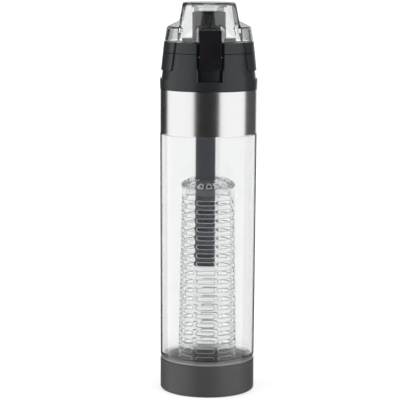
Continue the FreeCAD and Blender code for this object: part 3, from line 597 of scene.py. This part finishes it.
def thread_rise(height, angle, low, high):
    """How far a screw thread stands out at a height and angle."""
    phase = (height / THREAD_PITCH - angle / (2 * math.pi)) % 1.0
    ridge = max(0.0, math.cos(2 * math.pi * (phase - 0.5))) ** 2
    start = min(1.0, max(0.0, (height - low) / THREAD_RUN_OUT))
    stop = min(1.0, max(0.0, (high - height) / THREAD_RUN_OUT))
    return THREAD_HEIGHT * ridge * start * stop


def lathe(points, threads=()):
    """A profile turned about the axis. Each thread is (radius, low, high) of a run that carries it."""
    corners = []
    faces = []
    count = len(points)
    for turn in range(TURN_STEPS):
        angle = 2 * math.pi * turn / TURN_STEPS
        for point in points:
            out = point.x
            for radius, low, high in threads:
                if abs(point.x - radius) < SAME_RADIUS and low <= point.y <= high:
                    out += thread_rise(point.y, angle, low, high)
            corners.append((out * math.cos(angle), out * math.sin(angle), point.y))
        here = turn * count
        there = (turn + 1) % TURN_STEPS * count
        for i in range(count):
            after = (i + 1) % count
            faces.append((here + i, there + i, there + after, here + after))
    return corners, faces


def add_bottle_wall(material):
    """The bottle: wall, rounded foot, band seat, shoulder and the two threaded necks."""
    inside = BAND_SEAT - TUBE_WALL
    mouth = MOUTH_NECK - NECK_WALL
    points = rounded([
        (LOWER_NECK - NECK_WALL, NECK_FOOT, LIP_ROUND),
        (LOWER_NECK, NECK_FOOT, LIP_ROUND),
        (LOWER_NECK, TUBE_SHOULDER, LIP_ROUND),
        (TUBE_FOOT, TUBE_SHOULDER, FOOT_ROUND),
        (TUBE_TOP, BAND_BOTTOM - BAND_GROOVE, BAND_LIP_ROUND),
        (BAND_SEAT, BAND_BOTTOM - BAND_GROOVE),
        (BAND_SEAT, SHOULDER_TOP, LIP_ROUND),
        (MOUTH_NECK, SHOULDER_TOP, LIP_ROUND),
        (MOUTH_NECK, MOUTH_TOP, LIP_ROUND),
        (mouth, MOUTH_TOP, LIP_ROUND),
        (mouth, SHOULDER_TOP, LIP_ROUND),
        (inside, SHOULDER_TOP - inside + mouth, FOOT_SLOPE),
        (TUBE_FOOT - TUBE_WALL, TUBE_SHOULDER + FOOT_SLOPE, FOOT_SLOPE),
        (LOWER_NECK - NECK_WALL, TUBE_SHOULDER, LIP_ROUND),
    ])
    lower = (LOWER_NECK, NECK_FOOT + LIP_ROUND, TUBE_SHOULDER - LIP_ROUND)
    upper = (MOUTH_NECK, SHOULDER_TOP + LIP_ROUND, MOUTH_TOP - LIP_ROUND)
    for radius, low, high in (lower, upper):
        points = divided(points, low, high, radius)
    corners, faces = lathe(points, (lower, upper))
    wall = new_piece("bottle_wall", "bottle", material, corners, faces, WALL_CREASE)
    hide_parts("body_tube")


def slot_rim(grow):
    """Points round a slot, grown by an amount, from its lower left, as many as a cell has on its rim."""
    wide = SLOT_HALF_WIDTH + grow
    tall = SLOT_HALF_HEIGHT + grow
    arc = SLOT_ROUND + grow
    half_arc = math.pi / 4
    points = []
    for side, steps in enumerate(CELL_STEPS):
        start = CELL_CORNERS[side]
        stop = CELL_CORNERS[(side + 1) % len(CELL_CORNERS)]
        first_angle = math.atan2(start[1], start[0])
        for step in range(steps):
            if step <= ARC_STEPS:
                angle = first_angle + half_arc * step / ARC_STEPS
                share = 0.0
            elif step >= steps - ARC_STEPS:
                angle = first_angle + 2 * half_arc - half_arc * (steps - step) / ARC_STEPS
                share = 1.0
            else:
                angle = first_angle + half_arc
                share = (step - ARC_STEPS) / (steps - 2 * ARC_STEPS)
            x = (start[0] * (1 - share) + stop[0] * share) * (wide - arc)
            z = (start[1] * (1 - share) + stop[1] * share) * (tall - arc)
            points.append((x + arc * math.cos(angle), z + arc * math.sin(angle)))
    return points


def cell_rim():
    """Points round a cell of the basket's wall, as (across, up) from its middle, each in half cells."""
    points = []
    for side, steps in enumerate(CELL_STEPS):
        start = Vector(CELL_CORNERS[side])
        stop = Vector(CELL_CORNERS[(side + 1) % len(CELL_CORNERS)])
        points += [tuple(start.lerp(stop, step / steps)) for step in range(steps)]
    return points


def basket_radius(height):
    return BASKET_FOOT + (BASKET_TOP - BASKET_FOOT) * (height - FLOOR_TOP) / BASKET_HEIGHT


def basket_cell(middle_angle, middle_height, corners, faces):
    """One slot with the wall round it: both faces of the wall, the slot's rounded edges and its walls."""
    half_span = math.pi / SLOT_COLUMNS
    half_pitch = SLOT_PITCH / 2
    cell = [(half_span * across, middle_height + half_pitch * up) for across, up in cell_rim()]

    def rim(grow, depth):
        """A ring of (angle, height, depth) round the slot."""
        result = []
        for x, z in slot_rim(grow):
            radius = basket_radius(middle_height + z) - depth
            result.append((math.asin(x / radius), middle_height + z, depth))
        return result

    def between(ring, depth):
        """A ring half way from a slot's rim to the cell's edge."""
        result = []
        for (angle, height, _), (edge_angle, edge_height) in zip(ring, cell):
            result.append(((angle + edge_angle) / 2, (height + edge_height) / 2, depth))
        return result

    outer = rim(SLOT_EDGE, 0.0)
    inner = rim(SLOT_EDGE, BASKET_WALL)
    rings = [
        [(angle, height, 0.0) for angle, height in cell],
        between(outer, 0.0),
        outer,
        rim(0.0, SLOT_EDGE),
        rim(0.0, BASKET_WALL - SLOT_EDGE),
        inner,
        between(inner, BASKET_WALL),
        [(angle, height, BASKET_WALL) for angle, height in cell],
    ]
    first = len(corners)
    count = len(cell)
    for ring in rings:
        for angle, height, depth in ring:
            radius = basket_radius(height) - depth
            turn = middle_angle + angle
            corners.append((radius * math.cos(turn), radius * math.sin(turn), height))
    for level in range(len(rings) - 1):
        for i in range(count):
            after = (i + 1) % count
            low = first + level * count
            faces.append((low + i, low + after, low + count + after, low + count + i))


def add_basket(material):
    """The infuser basket: a grid of slotted cells between a plain foot with a floor and a plain rim."""
    corners = []
    faces = []
    step = 2 * math.pi / SLOT_COLUMNS
    for column in range(SLOT_COLUMNS):
        for row in range(SLOT_ROWS):
            basket_cell(BASKET_FRONT + column * step, SLOT_FIRST + row * SLOT_PITCH, corners, faces)
    low = SLOT_FIRST - SLOT_PITCH / 2
    high = low + SLOT_ROWS * SLOT_PITCH
    top = FLOOR_TOP + BASKET_HEIGHT
    foot_inside = BASKET_FOOT - BASKET_WALL
    foot = rounded([
        (0.0, FLOOR_TOP + BASKET_FLOOR),
        (0.0, FLOOR_TOP),
        (basket_radius(FLOOR_TOP), FLOOR_TOP, LIP_ROUND),
        (basket_radius(low), low),
        (basket_radius(low) - BASKET_WALL, low),
        (foot_inside, FLOOR_TOP + BASKET_FLOOR, LIP_ROUND),
    ])
    rim = rounded([
        (basket_radius(high) - BASKET_WALL, high),
        (basket_radius(high), high),
        (basket_radius(top), top, LIP_ROUND),
        (basket_radius(top) - BASKET_WALL, top, LIP_ROUND),
    ])
    across = SLOT_COLUMNS * CELL_ACROSS
    for points, open_edge in ((foot, low), (rim, high)):
        for turn in range(across):
            angles = [BASKET_FRONT + step / 2 + 2 * math.pi * edge / across for edge in (turn, turn + 1)]
            for i, point in enumerate(points):
                after = points[(i + 1) % len(points)]
                on_axis = max(point.x, after.x) < SAME_PLACE
                if on_axis or all(abs(end.y - open_edge) < SAME_PLACE for end in (point, after)):
                    continue
                faces.append(tuple(range(len(corners), len(corners) + 4)))
                for end, ways in ((point, angles), (after, angles[::-1])):
                    corners += [(end.x * math.cos(way), end.x * math.sin(way), end.y) for way in ways]
    basket = new_piece("basket_wall", "infuser", material, corners, faces, BASKET_CREASE)
    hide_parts("infuser_basket")


# The infuser cap's arched openings on its slope, and the fine rims of arches and slots, whose white haze is a
# painted highlight
ARCH_WIDTH = 3.4
ARCH_LOW = 150.6
ARCH_HIGH = 153.4
ARCH_COUNT = 20
ARCH_STEPS = 8
CAP_EDGE = 19.25
CAP_EDGE_TOP = 151.5
CAP_FLAT = 14.5
CAP_TOP = 155.5
RIB_RADIUS = 0.42
SLOT_RIM_RADIUS = 0.19
RIB_SIDES = 6


def sweep(path, sides, closed=False):
    """Corners and faces of a tube along a path of (middle, across, up), the last two being half sizes."""
    corners = []
    faces = []
    for middle, across, up in path:
        for side in range(sides):
            angle = 2 * math.pi * side / sides
            corners.append(middle + across * math.cos(angle) + up * math.sin(angle))
    count = len(path)
    for i in range(count if closed else count - 1):
        here = i * sides
        there = (i + 1) % count * sides
        for side in range(sides):
            after = (side + 1) % sides
            faces.append((here + side, here + after, there + after, there + side))
    if not closed:
        faces.append(tuple(range(sides)))
        faces.append(tuple(range((count - 1) * sides, count * sides)))
    return corners, faces


def add_rims(name, body, material, rings, radius):
    """Fine rounded rims along closed rings of places, each ring given with the angle that it faces."""
    corners = []
    faces = []
    for turn, places in rings:
        out = Vector((math.cos(turn), math.sin(turn), 0.0))
        path = []
        for i, place in enumerate(places):
            along = (places[(i + 1) % len(places)] - places[i - 1]).normalized()
            side = along.cross(out).normalized()
            path.append((place, side * radius, side.cross(along) * radius))
        more_corners, more_faces = sweep(path, RIB_SIDES, closed=True)
        first = len(corners)
        corners += more_corners
        faces += [tuple(first + index for index in face) for face in more_faces]
    new_piece(name, body, material, corners, faces)


def on_wall(turn, x, z, radius):
    """A place on a round wall, x across from the angle that is faced and at a height."""
    angle = turn + math.asin(x / radius)
    return Vector((radius * math.cos(angle), radius * math.sin(angle), z))


def add_arch_rims(material):
    """A rim round each arched opening of the infuser's cap."""
    half = ARCH_WIDTH / 2
    outline = [(-half, ARCH_LOW), (half, ARCH_LOW)]
    for step in range(ARCH_STEPS + 1):
        angle = math.pi * step / ARCH_STEPS
        outline.append((half * math.cos(angle), ARCH_HIGH - half + half * math.sin(angle)))
    lean = (CAP_EDGE - CAP_FLAT) / (CAP_TOP - CAP_EDGE_TOP)
    rings = []
    for number in range(ARCH_COUNT):
        turn = 2 * math.pi * number / ARCH_COUNT - math.pi / 2
        places = [on_wall(turn, x, z, CAP_EDGE - lean * max(0.0, z - CAP_EDGE_TOP)) for x, z in outline]
        rings.append((turn, places))
    add_rims("infuser_cap_rims", "infuser_lid", material, rings, RIB_RADIUS)


def add_slot_rims(material):
    """A rim round each slot of the basket."""
    rings = []
    for column in range(SLOT_COLUMNS):
        turn = BASKET_FRONT + 2 * math.pi * column / SLOT_COLUMNS
        for row in range(SLOT_ROWS):
            middle = SLOT_FIRST + row * SLOT_PITCH
            rim = [(x, middle + z) for x, z in slot_rim(SLOT_EDGE)]
            rings.append((turn, [on_wall(turn, x, z, basket_radius(z)) for x, z in rim]))
    add_rims("basket_slot_rims", "infuser", material, rings, SLOT_RIM_RADIUS)


# The leaf spring behind the latch's foot, as (distance in front of the axis, height) corners of its fold
SPRING_HALF_WIDTH = 3.0
SPRING_SEAT = 29.55
SPRING_TIP = 32.3
SPRING_SHEET = 0.35
SPRING_FOOT = 237.4
SPRING_HIGH = 241.8
SPRING_FOLD = 238.3


def add_spring(material):
    """The folded leaf, a fixed shape that rides on the lid; on the bottle it flattens against the lid's core
    as the latch's foot comes in.
    """
    outline = rounded([
        (SPRING_SEAT, SPRING_FOOT),
        (SPRING_SEAT, SPRING_HIGH),
        (SPRING_SEAT + SPRING_SHEET, SPRING_HIGH),
        (SPRING_SEAT + SPRING_SHEET, SPRING_FOLD, SPRING_SHEET / 2),
        (SPRING_TIP - SPRING_SHEET, SPRING_HIGH),
        (SPRING_TIP, SPRING_HIGH),
        (SPRING_SEAT + SPRING_SHEET, SPRING_FOOT, SPRING_SHEET),
    ])
    count = len(outline)
    corners = [(side * SPRING_HALF_WIDTH, -point.x, point.y) for side in (-1, 1) for point in outline]
    faces = [tuple(range(count)), tuple(range(count, 2 * count))]
    for i in range(count):
        after = (i + 1) % count
        faces.append((i, after, count + after, count + i))
    spring = new_piece("latch_leaf", "lid", material, corners, faces, SPRING_CREASE)
    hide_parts("latch_spring")
    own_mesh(spring)


# The threads inside the base and the lid's core, clear of the ends of the necks that they take
BASE_BORE = 32.0
CORE_BORE = 28.0
RIDGE_HALF = 0.8
RIDGE_END = 0.025
RIDGE_STEPS = 72
RIDGE_SIDES = 10
RIDGE_RUN_OUT_STEPS = 10
RIDGE_CLEAR = 3.0
LID_RIDGE_CLEAR = 4.0


def add_inner_thread(name, body, material, bore, low, high):
    """A rounded helical ridge inside a screw cup, half a pitch from the ridge of the neck that it takes."""
    turns = (high - low) / THREAD_PITCH
    count = round(turns * RIDGE_STEPS)
    path = []
    for step in range(count + 1):
        height = low + (high - low) * step / count
        angle = 2 * math.pi * height / THREAD_PITCH
        out = Vector((math.cos(angle), math.sin(angle), 0.0))
        height_share = min(1.0, step / RIDGE_RUN_OUT_STEPS, (count - step) / RIDGE_RUN_OUT_STEPS)
        middle = out * bore + Vector((0.0, 0.0, height))
        depth = max(THREAD_HEIGHT * height_share, RIDGE_END)
        path.append((middle, out * depth, Vector((0.0, 0.0, RIDGE_HALF))))
    corners, faces = sweep(path, RIDGE_SIDES)
    new_piece(name, body, material, corners, faces)


add_camera()
add_world()
add_floor()
materials = add_materials()
dress_nodes(materials)
add_bottle_wall(materials["wall"])
add_basket(materials["infuser"])
# The rims carry the painted highlights of the arches' and slots' edges
add_arch_rims(materials["rim_highlight"])
add_slot_rims(materials["rim_highlight"])
add_spring(materials["pin"])
add_inner_thread(
    "base_thread", "base", materials["base"],
    BASE_BORE, NECK_FOOT + RIDGE_CLEAR, TUBE_SHOULDER - RIDGE_CLEAR,
)
add_inner_thread(
    "lid_thread", "lid", materials["lid"],
    CORE_BORE, SHOULDER_TOP + LID_RIDGE_CLEAR, MOUTH_TOP - RIDGE_CLEAR,
)

# Light passes many nested clear walls
CLEAR_BOUNCES = 32
GLOSSY_BOUNCES = 8
SCENE.cycles.max_bounces = CLEAR_BOUNCES
SCENE.cycles.transmission_bounces = CLEAR_BOUNCES
SCENE.cycles.glossy_bounces = GLOSSY_BOUNCES
SCENE.cycles.transparent_max_bounces = CLEAR_BOUNCES

# White stays white, as in the photograph
SCENE.view_settings.view_transform = "Standard"
